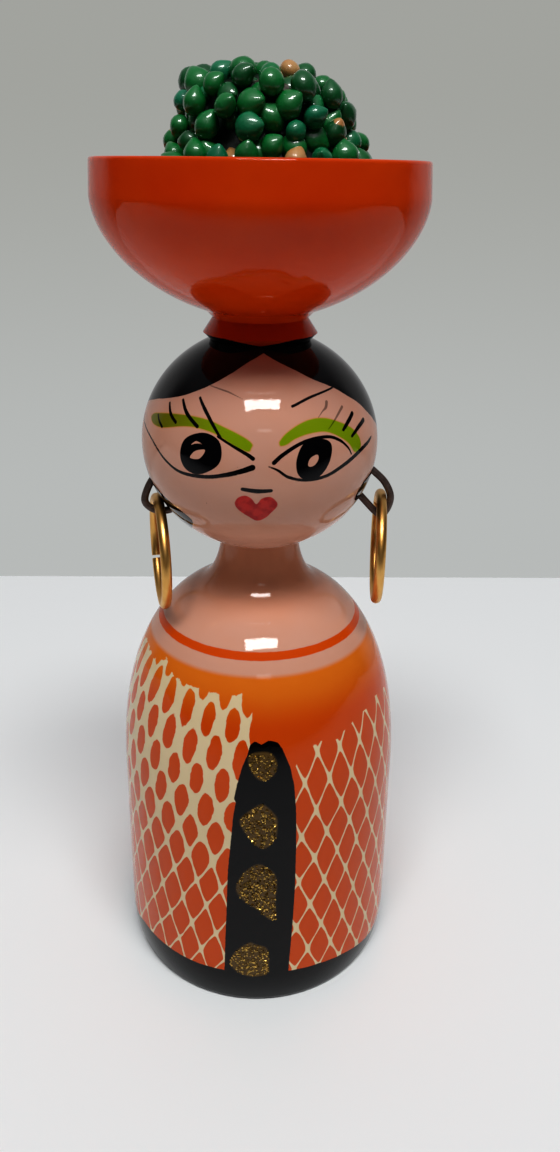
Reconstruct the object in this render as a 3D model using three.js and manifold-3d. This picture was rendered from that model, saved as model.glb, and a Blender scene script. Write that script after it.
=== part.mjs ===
// A turned and painted wooden doll: a woman with a bowl of green seeds on her head
// and a hoop in each ear. Millimetres, Z up, standing on z = 0, the face towards -Y.
import * as THREE from 'three';
import { ConvexHull } from 'three/addons/math/ConvexHull.js';
import { mergeVertices } from 'three/addons/utils/BufferGeometryUtils.js';
import Module from 'manifold-3d';

const wasm = await Module();
wasm.setup();

// How finely the turned pieces and the round wires are cut
const TURNED_SIDES = 36;
const WIRE_SIDES = 8;
const UP = new THREE.Vector3(0, 0, 1);

// Heights of the flat faces where the turned pieces are glued together
const NECK_TOP_Z = 97.4;
const CROWN_Z = 136;

// Body: a flat base, nearly straight sides, round shoulders and a hollow-sided neck
const BASE_RADIUS = 28.6;
const BASE_CHAMFER = 0.6;
const HEM_RADIUS = 30.1;
const HEM_Z = 8;
const HEM_STEPS = 3;
const SIDE_RADIUS = 29.6;
const SHOULDER_Z = 42;
const SHOULDER_RISE = 48;
const SHOULDER_POWER = 2.45;
const SHOULDER_STEPS = 11;
const NECK_FOOT_Z = 87.6;
const NECK_BEND = new THREE.Vector2(8.6, 89.6);
const NECK_TOP_RADIUS = 7.6;
const NECK_STEPS = 4;

// Head: a ball, a little flattened, cut flat where it meets the neck and the bowl
const HEAD_RADIUS = 22.3;
const HEAD_HALF_HEIGHT = 20.7;
const HEAD_CENTRE_Z = 117;
const HEAD_STEPS = 14;

// Bowl: a short double-coned foot and a round bowl with a slightly drawn-in rim
const FOOT_RADIUS = 9.2;
const FOOT_EDGE = new THREE.Vector2(10.35, 137.1);
const FOOT_GROOVE = new THREE.Vector2(8.6, 139.7);
const BOWL_RADIUS = 28.85;
const BOWL_WIDEST_Z = 159.5;
const BOWL_DEPTH = 20.2;
const BOWL_POWER = 1.8;
const BOWL_START_Z = 141;
const BOWL_STEPS = 10;
const RIM_RADIUS = 28.5;
const RIM_Z = 165.2;
const RIM_ROUNDING = 0.6;
const WALL = 2.6;
const BOWL_FLOOR_Z = 144;
const INSIDE_STEPS = 7;

// Seed heap: it fills the bowl's floor and stands up as a mound of seeds glued together
const HEAP_OFFSET_X = 0.9;
const HEAP_GAP = 0.3;
const HEAP_FILL_DROP = 8;
const HEAP_SIDES = 18;
const HEAP_LEAN = 0.24;
const HEAP_LEAN_START = 3;
const HEAP_LEAN_END = 16;
const SEED_HEIGHT = 2.3;
const SEED_SHOULDER_HEIGHT = 1.7;
const SEED_SHOULDER_REACH = 0.62;
const SEED_SPACING = 4.8;
const SEED_JITTER = 0.5;
// Each ring of seeds: its radius and its height over the rim
const SEED_RINGS = [
  { radius: 21.8, rise: -6.2 },
  { radius: 18.9, rise: -3.6 },
  { radius: 16.4, rise: -0.3 },
  { radius: 15.0, rise: 3.6 },
  { radius: 14.1, rise: 7.4 },
  { radius: 12.7, rise: 10.6 },
  { radius: 8.8, rise: 12.2 },
  { radius: 4.5, rise: 12.6 },
  { radius: 0, rise: 12.5 },
];

// Ear wires: a bent wire whose two legs go into drilled holes in the head. Every point is its
// distance from the doll's axis and its height. The hoop's split is turned from its top, over
// its front and down.
const WIRE_RADIUS = 0.7;
const HOLE_CLEARANCE = 0.3;
const WIRE_STEPS = 14;
const EARS = {
  left: {
    side: -1,
    forward: 12,
    wire: [
      [18.6, 112.2], [21.0, 109.9], [22.4, 106.4], [21.2, 104.5],
      [19.0, 103.85], [16.9, 104.3], [14.4, 106.2],
    ],
    hoopReach: 19.9,
    splitTurn: 240.6,
  },
  right: {
    side: 1,
    forward: 5,
    wire: [
      [19.6, 113.3], [22.1, 111.3], [24.3, 109.1], [25.5, 106.2], [24.7, 103.3],
      [23.2, 102.8], [19.4, 106.6], [17.0, 108.9],
    ],
    hoopReach: 23.7,
    splitTurn: 310,
  },
};

// Hoops: split rings of brass wire that hang on the lowest part of the ear wires
const HOOP_WIRE_RADIUS = 1.0;
const HOOP_RADIUS = 10.45;
const HOOP_REST_GAP = 0.15;
const REST_SAMPLES = 200;
const HOOP_SPLIT = 0.7;
const HOOP_STEPS = 30;

const LACQUERED_BODY = { color: 0xd9541e, roughness: 0.25, metalness: 0 };
const LACQUERED_HEAD = { color: 0xc99a8a, roughness: 0.22, metalness: 0 };
const LACQUERED_BOWL = { color: 0xc8380c, roughness: 0.2, metalness: 0 };
const GREEN_SEEDS = { color: 0x0a5a2c, roughness: 0.25, metalness: 0 };
const DARK_WIRE = { color: 0x2e2624, roughness: 0.6, metalness: 0.6 };
const BRASS = { color: 0xb98a3c, roughness: 0.3, metalness: 1 };

// A named mesh with a material of its own
function makeMesh(name, geometry, look) {
  const mesh = new THREE.Mesh(geometry, new THREE.MeshStandardMaterial(look));
  mesh.name = name;
  return mesh;
}

// The width of a rounded outline, as a share of its widest, at a share of its height
function roundedWidth(share, power) {
  return Math.pow(1 - Math.pow(share, power), 1 / power);
}

// Evenly spread numbers from first to last, both included
function spread(first, last, steps) {
  return Array.from({ length: steps + 1 }, (_, i) => first + ((last - first) * i) / steps);
}

// Points of a rounded outline between two angles measured up from its widest circle
function roundedOutline(radius, height, centreZ, power, fromZ, toZ, steps) {
  const angleAt = (z) => Math.asin(THREE.MathUtils.clamp((z - centreZ) / height, -1, 1));
  return spread(angleAt(fromZ), angleAt(toZ), steps).map((angle) => {
    const share = Math.sin(angle);
    return new THREE.Vector2(radius * roundedWidth(Math.abs(share), power), centreZ + height * share);
  });
}

// A solid turned about Z from an outline that starts and ends on the axis
function turned(outline) {
  return new THREE.LatheGeometry(outline, TURNED_SIDES).rotateX(Math.PI / 2);
}

function bodyGeometry() {
  const base = [
    new THREE.Vector2(0, 0),
    new THREE.Vector2(BASE_RADIUS, 0),
  ];
  const hem = new THREE.QuadraticBezierCurve(
    new THREE.Vector2(BASE_RADIUS + BASE_CHAMFER, BASE_CHAMFER),
    new THREE.Vector2(HEM_RADIUS, HEM_Z / 2),
    new THREE.Vector2(HEM_RADIUS, HEM_Z),
  ).getPoints(HEM_STEPS);
  const shoulders = roundedOutline(
    SIDE_RADIUS, SHOULDER_RISE, SHOULDER_Z, SHOULDER_POWER, SHOULDER_Z, NECK_FOOT_Z, SHOULDER_STEPS,
  );
  const neck = new THREE.QuadraticBezierCurve(
    shoulders.pop(), NECK_BEND, new THREE.Vector2(NECK_TOP_RADIUS, NECK_TOP_Z),
  ).getPoints(NECK_STEPS);
  return turned([...base, ...hem, ...shoulders, ...neck, new THREE.Vector2(0, NECK_TOP_Z)]);
}

function headGeometry() {
  const ball = roundedOutline(
    HEAD_RADIUS, HEAD_HALF_HEIGHT, HEAD_CENTRE_Z, 2, NECK_TOP_Z, CROWN_Z, HEAD_STEPS,
  );
  return turned([new THREE.Vector2(0, NECK_TOP_Z), ...ball, new THREE.Vector2(0, CROWN_Z)]);
}

// The bowl's inner face, from the rim down to the middle of its floor
function bowlInside(gap) {
  const depth = BOWL_WIDEST_Z - BOWL_FLOOR_Z - gap;
  const radius = BOWL_RADIUS - WALL - gap;
  const floorZ = BOWL_FLOOR_Z + gap;
  return roundedOutline(radius, depth, BOWL_WIDEST_Z, BOWL_POWER, BOWL_WIDEST_Z, floorZ, INSIDE_STEPS);
}

function bowlGeometry() {
  const foot = [
    new THREE.Vector2(0, CROWN_Z),
    new THREE.Vector2(FOOT_RADIUS, CROWN_Z),
    FOOT_EDGE,
    FOOT_GROOVE,
  ];
  const outside = roundedOutline(
    BOWL_RADIUS, BOWL_DEPTH, BOWL_WIDEST_Z, BOWL_POWER, BOWL_START_Z, BOWL_WIDEST_Z, BOWL_STEPS,
  );
  const rim = [
    new THREE.Vector2(RIM_RADIUS, RIM_Z - RIM_ROUNDING),
    new THREE.Vector2(RIM_RADIUS - RIM_ROUNDING, RIM_Z),
    new THREE.Vector2(RIM_RADIUS - WALL + RIM_ROUNDING, RIM_Z),
    new THREE.Vector2(RIM_RADIUS - WALL, RIM_Z - RIM_ROUNDING),
  ];
  return turned([...foot, ...outside, ...rim, ...bowlInside(0)]);
}

// Numbers between -1 and 1 that look random and are the same every time
function makeJitter(seed) {
  let state = seed;
  return () => {
    state = (Math.imul(state, 1664525) + 1013904223) >>> 0;
    return (state / 4294967296) * 2 - 1;
  };
}

// How much of its height the heap keeps at x, since it is lower towards +X
function heapHeightShare(x) {
  return 1 - HEAP_LEAN * THREE.MathUtils.smoothstep(x, HEAP_LEAN_START, HEAP_LEAN_END);
}

// A point of the heap moved off the bowl's axis and lowered where the heap leans
function leaned(point) {
  const x = point.x + HEAP_OFFSET_X;
  const rise = point.z - RIM_Z;
  return new THREE.Vector3(x, point.y, rise > 0 ? RIM_Z + rise * heapHeightShare(x) : point.z);
}

// A point at an angle around the Z axis
function around(angle, radius, z) {
  return new THREE.Vector3(radius * Math.cos(angle), radius * Math.sin(angle), z);
}

// Every seed, ring by ring from the bowl's wall to the top. wrap is its place on the ball that
// is wrapped to find its neighbours, and out is the way it faces.
function heapSeeds() {
  const jitter = makeJitter(7);
  const last = SEED_RINGS.length - 1;
  return SEED_RINGS.flatMap(({ radius, rise }, ring) => {
    const below = SEED_RINGS[Math.max(0, ring - 1)];
    const above = SEED_RINGS[Math.min(last, ring + 1)];
    const slope = Math.atan2(below.radius - above.radius, above.rise - below.rise);
    const climb = (Math.PI / 2) * ((ring + 1) / (last + 1));
    const count = Math.max(1, Math.floor((2 * Math.PI * radius) / SEED_SPACING));
    return Array.from({ length: count }, (_, i) => {
      const angle = (2 * Math.PI * (i + 0.5 * (ring % 2) + 0.15 * jitter())) / count;
      const reach = radius + SEED_JITTER * jitter();
      const place = around(angle, reach, RIM_Z + rise + SEED_JITTER * jitter());
      return {
        wrap: around(angle, Math.cos(climb), Math.sin(climb)),
        place: leaned(place),
        out: ring === last ? UP.clone() : around(angle, Math.cos(slope), Math.sin(slope)),
        isSeed: true,
      };
    });
  });
}

// The plain points under the seeds: the bowl's inside, from its floor up to the fill line
function heapFloor() {
  const fillZ = RIM_Z - HEAP_FILL_DROP;
  const outline = bowlInside(HEAP_GAP).filter((point) => point.y < fillZ - HEAP_GAP);
  outline.unshift(new THREE.Vector2(outline[0].x, fillZ));
  return outline.flatMap(({ x: radius, y: z }, i) => {
    const climb = (-Math.PI / 2) * (i / (outline.length - 1));
    const count = radius > HEAP_GAP ? HEAP_SIDES : 1;
    return spread(0, 2 * Math.PI, count).slice(1).map((angle) => ({
      wrap: around(angle, Math.cos(climb), Math.sin(climb)),
      place: around(angle, radius, z),
      out: new THREE.Vector3(),
      isSeed: false,
    }));
  });
}

// Where two neighbours meet, and where a seed turns down towards its neighbour
const meeting = (a, b) => a.place.clone().add(b.place).multiplyScalar(0.5);
const shoulder = (a, b) => a.place.clone()
  .lerp(meeting(a, b), SEED_SHOULDER_REACH)
  .addScaledVector(a.out, SEED_SHOULDER_HEIGHT);

// The triangles over three neighbours: a facet of each seed, and the hollow between them
function patchTriangles(corners) {
  if (!corners.some((corner) => corner.isSeed)) return [corners.map((corner) => corner.place)];
  const triangles = [];
  const edge = [];
  corners.forEach((corner, i) => {
    const next = corners[(i + 1) % 3];
    const previous = corners[(i + 2) % 3];
    if (corner.isSeed) {
      const tip = corner.place.clone().addScaledVector(corner.out, SEED_HEIGHT);
      triangles.push([shoulder(corner, previous), tip, shoulder(corner, next)]);
    }
    edge.push(corner.isSeed ? shoulder(corner, next) : corner.place);
    if (corner.isSeed || next.isSeed) edge.push(meeting(corner, next));
    if (next.isSeed) edge.push(shoulder(next, corner));
  });
  const hollow = new THREE.Vector3();
  corners.forEach((corner) => hollow.addScaledVector(corner.place, 1 / 3));
  edge.forEach((point, i) => triangles.push([point, edge[(i + 1) % edge.length], hollow]));
  return triangles;
}

// The three points at the corners of a face of the wrapped ball
function faceCorners(face, pointOf) {
  const corners = [];
  let edge = face.edge;
  do {
    corners.push(pointOf.get(edge.head().point));
    edge = edge.next;
  } while (edge !== face.edge);
  return corners;
}

function seedHeapGeometry() {
  const points = [...heapSeeds(), ...heapFloor()];
  const pointOf = new Map(points.map((point) => [point.wrap, point]));
  const ball = new ConvexHull().setFromPoints([...pointOf.keys()]);
  const triangles = ball.faces.flatMap((face) => patchTriangles(faceCorners(face, pointOf)));
  const geometry = mergeVertices(new THREE.BufferGeometry().setFromPoints(triangles.flat()));
  geometry.computeVertexNormals();
  return geometry;
}

// A closed geometry as a solid that can be joined and cut
function toSolid(geometry) {
  const bare = geometry.clone();
  bare.deleteAttribute('normal');
  bare.deleteAttribute('uv');
  const merged = mergeVertices(bare, 1e-5);
  return new wasm.Manifold(new wasm.Mesh({
    numProp: 3,
    vertProperties: new Float32Array(merged.getAttribute('position').array),
    triVerts: new Uint32Array(merged.getIndex().array),
  }));
}

function fromSolid(solid) {
  const { vertProperties, triVerts } = solid.getMesh();
  const geometry = new THREE.BufferGeometry();
  geometry.setAttribute('position', new THREE.BufferAttribute(new Float32Array(vertProperties), 3));
  geometry.setIndex(new THREE.BufferAttribute(new Uint32Array(triVerts), 1));
  geometry.computeVertexNormals();
  return geometry;
}

// A round wire of the given radius along a curve
function wireGeometry(curve, radius, steps) {
  const corners = spread(0, 2 * Math.PI, WIRE_SIDES).slice(1)
    .map((angle) => new THREE.Vector2(radius * Math.cos(angle), radius * Math.sin(angle)));
  return new THREE.ExtrudeGeometry(new THREE.Shape(corners), { steps, extrudePath: curve });
}

// The direction from the doll's axis out to an ear
function earDirection({ side, forward }) {
  const angle = THREE.MathUtils.degToRad(forward);
  return new THREE.Vector3(side * Math.cos(angle), -Math.sin(angle), 0);
}

function earWireCurve(ear) {
  const out = earDirection(ear);
  const points = ear.wire.map(([reach, z]) => out.clone().multiplyScalar(reach).setZ(z));
  return new THREE.CatmullRomCurve3(points);
}

// A hole for the wire is the same curve with a wider section
function drilled(solid, ear) {
  const hole = wireGeometry(earWireCurve(ear), WIRE_RADIUS + HOLE_CLEARANCE, WIRE_STEPS);
  return solid.subtract(toSolid(hole));
}

// How high the top of a hoop's ring lies when it rests in the lower bend of its wire
function hoopRestZ(ear) {
  const apart = WIRE_RADIUS + HOOP_WIRE_RADIUS + HOOP_REST_GAP;
  const points = earWireCurve(ear).getSpacedPoints(REST_SAMPLES)
    .map((point) => ({ reach: Math.hypot(point.x, point.y), z: point.z }));
  const bulge = points.reduce((best, point) => (point.reach > best.reach ? point : best));
  const heights = points
    .filter(({ reach, z }) => z < bulge.z && Math.abs(reach - ear.hoopReach) < apart)
    .map(({ reach, z }) => z + Math.sqrt(apart ** 2 - (reach - ear.hoopReach) ** 2));
  return Math.max(...heights);
}

// A split ring in an upright plane across the ear's direction
class HoopCurve extends THREE.Curve {
  constructor(ear) {
    super();
    const out = earDirection(ear);
    this.front = UP.clone().cross(out).multiplyScalar(-ear.side);
    this.centre = out.multiplyScalar(ear.hoopReach).setZ(hoopRestZ(ear) - HOOP_RADIUS);
    this.splitAngle = THREE.MathUtils.degToRad(ear.splitTurn);
  }

  // The ring runs once around from one side of its split to the other
  getPoint(share, target = new THREE.Vector3()) {
    const open = HOOP_SPLIT / HOOP_RADIUS;
    const angle = this.splitAngle + open / 2 + share * (2 * Math.PI - open);
    return target.copy(this.centre)
      .addScaledVector(this.front, HOOP_RADIUS * Math.sin(angle))
      .addScaledVector(UP, HOOP_RADIUS * Math.cos(angle));
  }
}

const doll = new THREE.Group();
const ears = Object.entries(EARS);
const head = ears.reduce((solid, [, ear]) => drilled(solid, ear), toSolid(headGeometry()));
doll.add(
  makeMesh('body', bodyGeometry(), LACQUERED_BODY),
  makeMesh('head', fromSolid(head), LACQUERED_HEAD),
  makeMesh('bowl', bowlGeometry(), LACQUERED_BOWL),
  makeMesh('seed_heap', seedHeapGeometry(), GREEN_SEEDS),
);
for (const [name, ear] of ears) {
  const wire = wireGeometry(earWireCurve(ear), WIRE_RADIUS, WIRE_STEPS);
  const hoop = wireGeometry(new HoopCurve(ear), HOOP_WIRE_RADIUS, HOOP_STEPS);
  doll.add(
    makeMesh(`ear_wire_${name}`, wire, DARK_WIRE),
    makeMesh(`hoop_earring_${name}`, hoop, BRASS),
  );
}

export default doll;
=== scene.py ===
# A turned and painted wooden doll with a bowl of green seeds on her head and a hoop in each ear.
# Sizes are millimetres and turn into metres when a mesh is made. Z is up and the face looks
# towards -Y. A place on a turned skin is an angle in degrees from the front, growing towards +X,
# and a height.
import math

import bpy
import numpy as np
from mathutils import Matrix, Vector


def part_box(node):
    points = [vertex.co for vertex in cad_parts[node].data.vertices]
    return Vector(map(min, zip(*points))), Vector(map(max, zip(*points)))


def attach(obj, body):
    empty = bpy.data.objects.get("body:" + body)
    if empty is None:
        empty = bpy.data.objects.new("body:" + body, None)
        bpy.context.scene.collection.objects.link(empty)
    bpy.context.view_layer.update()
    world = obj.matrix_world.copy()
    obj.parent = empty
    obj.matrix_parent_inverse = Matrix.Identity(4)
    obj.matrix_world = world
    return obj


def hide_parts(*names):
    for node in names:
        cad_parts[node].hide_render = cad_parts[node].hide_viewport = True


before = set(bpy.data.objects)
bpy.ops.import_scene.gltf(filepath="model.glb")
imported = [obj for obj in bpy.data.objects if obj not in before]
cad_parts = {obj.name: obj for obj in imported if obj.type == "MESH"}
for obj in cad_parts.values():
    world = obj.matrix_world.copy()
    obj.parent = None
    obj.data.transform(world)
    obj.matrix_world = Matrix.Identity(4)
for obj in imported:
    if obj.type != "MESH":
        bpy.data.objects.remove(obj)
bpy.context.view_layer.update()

MM = 0.001

# Where the turned pieces meet
NECK_TOP_Z = 97.4
CROWN_Z = 136

# Body
BASE_RADIUS = 28.6
BASE_CHAMFER = 0.6
HEM_RADIUS = 30.0
HEM_Z = 8
SIDE_RADIUS = 29.5
SHOULDER_Z = 42
SHOULDER_RISE = 48
SHOULDER_POWER = 2.45
NECK_FOOT_Z = 87.6
NECK_BEND = (8.6, 89.6)
NECK_TOP_RADIUS = 7.6

# Head
HEAD_RADIUS = 22.3
HEAD_HALF_HEIGHT = 20.7
HEAD_CENTRE_Z = 117

# Bowl
FOOT_RADIUS = 9.2
FOOT_EDGE = (10.35, 137.1)
FOOT_GROOVE = (8.6, 139.7)
BOWL_RADIUS = 28.85
BOWL_WIDEST_Z = 159.5
BOWL_DEPTH = 20.2
BOWL_POWER = 1.8
BOWL_START_Z = 141
RIM_RADIUS = 28.5
RIM_Z = 165.2
RIM_ROUNDING = 0.6
WALL = 2.6
BOWL_FLOOR_Z = 144

# Seeds: rings of the heap as (radius, height over the rim)
HEAP_OFFSET_X = 0.9
HEAP_LEAN = 0.24
HEAP_LEAN_START = 3
HEAP_LEAN_END = 16
SEED_RINGS = [
    (21.8, -6.2), (18.9, -3.6), (16.4, -0.3), (15.0, 3.6), (14.1, 7.4),
    (12.7, 10.6), (8.8, 12.2), (4.5, 12.6), (0, 12.5),
]

# Ears: side, turn towards the front, the wire as (distance from the axis, height), and the hoop
WIRE_RADIUS = 0.7
HOOP_WIRE_RADIUS = 1.0
HOOP_RADIUS = 10.45
HOOP_SPLIT = 0.7
EARS = {
    "left": {
        "side": -1,
        "forward": 12,
        "wire": [
            (18.6, 112.2), (21.0, 109.9), (22.4, 106.4), (21.2, 104.5),
            (19.0, 103.85), (16.9, 104.3), (14.4, 106.2),
        ],
        "hoop_reach": 19.9,
        "split_turn": 240.6,
    },
    "right": {
        "side": 1,
        "forward": 5,
        "wire": [
            (19.6, 113.3), (22.1, 111.3), (24.3, 109.1), (25.5, 106.2), (24.7, 103.3),
            (23.2, 102.8), (19.4, 106.6), (17.0, 108.9),
        ],
        "hoop_reach": 23.7,
        "split_turn": 310,
    },
}

# Camera, fitted to the photograph: its place, its turns in degrees and its lens
CAMERA_PLACE = (0, -161.446, 163.835)
CAMERA_PITCH = 25.1135
CAMERA_YAW = 1.4895
CAMERA_ROLL = 0.8382
CAMERA_LENS = 27.1875
SENSOR_WIDTH = 36


def srgb(red, green, blue):
    """A colour as it looks on a screen, 0 to 255, turned into the linear colour a shader uses."""
    shares = np.array([red, green, blue]) / 255
    linear = np.where(shares <= 0.04045, shares / 12.92, ((shares + 0.055) / 1.055) ** 2.4)
    return (*linear, 1)


# Colours of the paints, as they look in even light
SKIN = srgb(214, 168, 150)
SKIN_WARM = srgb(216, 160, 134)
# Painted bounce light: the neck's skin warmed by orange light reflected up from the body
NECK_SKIN_IN_BOUNCE_LIGHT = srgb(224, 158, 126)
INK = srgb(14, 10, 12)
IRIS = srgb(9, 9, 13)
HAIR = srgb(16, 13, 15)
LIPS = srgb(206, 52, 44)
LIPS_DARK = srgb(176, 28, 28)
SHADOW_GREEN = srgb(134, 158, 16)
SHADOW_OLIVE = srgb(120, 118, 22)
SHADOW_RIM = srgb(214, 150, 60)
ORANGE = srgb(208, 84, 20)
ORANGE_LIGHT = srgb(226, 130, 42)
RING = srgb(214, 86, 12)
CREAM = srgb(226, 206, 168)
BLACK = srgb(11, 10, 12)
BOWL_ORANGE = srgb(222, 82, 16)
BOWL_DEEP = srgb(208, 62, 8)
SEED_GREEN = srgb(14, 132, 62)
SEED_TEAL = srgb(16, 136, 104)
SEED_DARK = srgb(10, 84, 44)
SEED_TAN = srgb(206, 172, 118)
SEED_RUST = srgb(190, 118, 60)
# Painted shade: the dark green in the gaps of the heap, where deeper seeds lie in shadow
GAP_SHADE_DARK = srgb(10, 30, 18)
GLUE_BROWN = srgb(92, 78, 58)
WIRE_DARK = srgb(116, 100, 94)
BRASS = srgb(238, 198, 130)
GOLD = srgb(226, 190, 110)
GOLD_DARK = srgb(96, 74, 38)
FLOOR_PALE = srgb(235, 237, 237)
# Painted shade: the grey of the floor well in front of the doll
FLOOR_PAINTED_SHADE = srgb(120, 120, 120)


class Shader:
    """The nodes of a material or of the world. Each method adds nodes and gives back their output
    socket."""

    def __init__(self, owner):
        owner.use_nodes = True
        self.owner = owner
        self.tree = owner.node_tree
        self.tree.nodes.clear()

    def node(self, kind, inputs=(), **settings):
        made = self.tree.nodes.new(kind)
        for key, value in settings.items():
            setattr(made, key, value)
        for key, value in dict(inputs).items():
            self.feed(made.inputs[key], value)
        return made

    def feed(self, socket, value):
        if isinstance(value, bpy.types.NodeSocket):
            self.tree.links.new(value, socket)
        else:
            socket.default_value = value

    def math(self, operation, *values, clamp=False):
        inputs = dict(enumerate(values))
        return self.node("ShaderNodeMath", inputs, operation=operation, use_clamp=clamp).outputs[0]

    def field(self, name):
        return self.node("ShaderNodeAttribute", attribute_name=name).outputs["Fac"]

    def place(self):
        return self.node("ShaderNodeTexCoord").outputs["Object"]

    def noise(self, size, detail=2.0, roughness=0.5, place=None):
        """Smooth noise around 0.5 with blobs of the given size in millimetres."""
        inputs = {
            "Vector": place or self.place(),
            "Scale": 1 / (size * MM),
            "Detail": detail,
            "Roughness": roughness,
        }
        return self.node("ShaderNodeTexNoise", inputs).outputs["Fac"]

    def span(self, value, low, high):
        """0 where value is low, 1 where it is high, and smooth between."""
        inputs = {"Value": value, "From Min": low, "From Max": high}
        return self.node(
            "ShaderNodeMapRange", inputs, interpolation_type="SMOOTHSTEP",
        ).outputs["Result"]

    def inside(self, distance, softness=0.06):
        """1 where a signed distance in millimetres is negative, 0 where it is positive."""
        return self.span(distance, softness, -softness)

    def wavy(self, distance, size, amount):
        """A signed distance whose edge wavers by the given amount in millimetres."""
        shift = self.math("MULTIPLY_ADD", self.noise(size), 2 * amount, -amount)
        return self.math("ADD", distance, shift)

    def mix(self, share, first, second):
        inputs = {"Factor": share, "A": first, "B": second}
        made = self.tree.nodes.new("ShaderNodeMix")
        made.data_type = "RGBA"
        for key, value in inputs.items():
            sockets = [s for s in made.inputs if s.name == key and s.enabled]
            self.feed(sockets[0], value)
        return [s for s in made.outputs if s.enabled][0]

    def bump(self, height, depth, below=None):
        """A normal from a height that is 0 to 1 over the given depth in millimetres."""
        inputs = {"Height": height, "Distance": depth * MM, "Strength": 1.0}
        if below is not None:
            inputs["Normal"] = below
        return self.node("ShaderNodeBump", inputs).outputs["Normal"]

    def finish(self, colour, normal=None, **sockets):
        inputs = {"Base Color": colour}
        for key, value in sockets.items():
            inputs[key.replace("_", " ").title().replace("Ior", "IOR")] = value
        if normal is not None:
            inputs["Normal"] = normal
            if "coat_weight" in sockets:
                inputs["Coat Normal"] = normal
        surface = self.node("ShaderNodeBsdfPrincipled", inputs)
        output = self.node("ShaderNodeOutputMaterial")
        self.tree.links.new(surface.outputs["BSDF"], output.inputs["Surface"])
        return self.owner


def new_shader(name):
    return Shader(bpy.data.materials.new(name))


class Turned:
    """A skin turned about Z, with rows along its outline of (radius, height) and a column at
    each angle."""

    def __init__(self, outline, angles):
        self.outline = np.array(outline, float)
        self.angles = np.array(angles, float)
        self.rows = len(self.outline)
        self.columns = len(self.angles)
        self.angle = np.tile(self.angles, self.rows)
        self.radius = np.repeat(self.outline[:, 0], self.columns)
        self.height = np.repeat(self.outline[:, 1], self.columns)
        self.points = polar(self.angle, self.radius, self.height)

    def faces(self):
        """Quads between the rows, and one flat face over each end."""
        row = np.arange(self.rows - 1)[:, None] * self.columns
        here = np.arange(self.columns)[None, :]
        after = (here + 1) % self.columns
        corners = [row + here, row + after, row + self.columns + after, row + self.columns + here]
        quads = np.stack(corners, axis=-1).reshape(-1, 4).tolist()
        first = list(range(self.columns))
        last = [(self.rows - 1) * self.columns + index for index in first]
        return [*quads, first[::-1], last]

    def place(self, marks):
        """Points on the skin at marks of (angle, height)."""
        marks = np.array(marks, float)
        rising = self.outline[np.concatenate([[True], np.diff(self.outline[:, 1]) > 0])]
        radius = np.interp(marks[:, 1], rising[:, 1], rising[:, 0])
        return polar(marks[:, 0], radius, marks[:, 1])

    def stroke(self, marks, widths, closed=False):
        """Signed distance in millimetres to a brush stroke through marks. Its widths are spread
        evenly along it."""
        marks = smooth_line(marks, closed)
        chain = self.place(marks)
        halves = np.interp(np.linspace(0, 1, len(chain)), np.linspace(0, 1, len(widths)), widths) / 2
        return chain_distance(self.points, chain, halves)

    def area(self, marks, smooth=True):
        """Signed distance in millimetres to the edge of a closed area, negative inside it."""
        marks = smooth_line(marks, True) if smooth else np.array([*marks, marks[0]], float)
        chain = self.place(marks)
        edge = chain_distance(self.points, chain, np.zeros(len(chain)))
        return np.where(encloses(marks, self.angle, self.height), -edge, edge)


def polar(angle, radius, height):
    """Points at angles in degrees from the front, which looks towards -Y."""
    turn = np.radians(angle)
    return np.stack([radius * np.sin(turn), -radius * np.cos(turn), height + 0 * turn], axis=-1)


def smooth_line(marks, closed=False, steps=8):
    """A smooth line through all marks, which are points of any number of coordinates."""
    marks = np.array(marks, float)
    count = len(marks)
    if closed:
        picks = [marks[(i + shift) % count] for i in range(count) for shift in (-1, 0, 1, 2)]
    else:
        ends = [2 * marks[0] - marks[1], *marks, 2 * marks[-1] - marks[-2]]
        picks = [ends[i + shift] for i in range(count - 1) for shift in (0, 1, 2, 3)]
    spans = np.array(picks).reshape(-1, 4, marks.shape[1])
    line = [smooth_span(span, step / steps) for span in spans for step in range(steps)]
    line.append(marks[0] if closed else marks[-1])
    return np.array(line)


def smooth_span(span, share):
    """A point between the middle two of four points, on a Catmull-Rom curve."""
    before, start, end, after = span
    return 0.5 * (
        2 * start + (end - before) * share
        + (2 * before - 5 * start + 4 * end - after) * share ** 2
        + (3 * start - before - 3 * end + after) * share ** 3
    )


def chain_distance(points, chain, halves, reach=3.0):
    """Distance from each point to a chain of round links, less the links' half widths. Points
    farther away than reach keep that distance."""
    low = chain.min(axis=0) - reach - halves.max()
    high = chain.max(axis=0) + reach + halves.max()
    near = np.all((points > low) & (points < high), axis=1)
    close = points[near]
    best = np.full(len(close), reach)
    for start, end, first, last in zip(chain[:-1], chain[1:], halves[:-1], halves[1:]):
        along = end - start
        length = max(along @ along, 1e-9)
        share = np.clip((close - start) @ along / length, 0, 1)
        gap = np.linalg.norm(close - start - share[:, None] * along, axis=1)
        best = np.minimum(best, gap - first - (last - first) * share)
    distance = np.full(len(points), reach)
    distance[near] = best
    return distance


def encloses(marks, angle, height):
    """Whether each place lies inside a closed line of marks."""
    inside = np.zeros(len(angle), bool)
    for (a, low), (b, high) in zip(marks[:-1], marks[1:]):
        if low == high:
            continue
        crosses = (height > low) != (height > high)
        inside ^= crosses & (angle < a + (b - a) * (height - low) / (high - low))
    return inside


def rounded_width(share, power):
    return (1 - share ** power) ** (1 / power)


def bend(start, corner, end, steps):
    """Points along a quadratic curve, both ends included."""
    start, corner, end = (np.array(point, float) for point in (start, corner, end))
    return [
        (1 - s) ** 2 * start + 2 * s * (1 - s) * corner + s ** 2 * end
        for s in np.linspace(0, 1, steps + 1)
    ]


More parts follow.
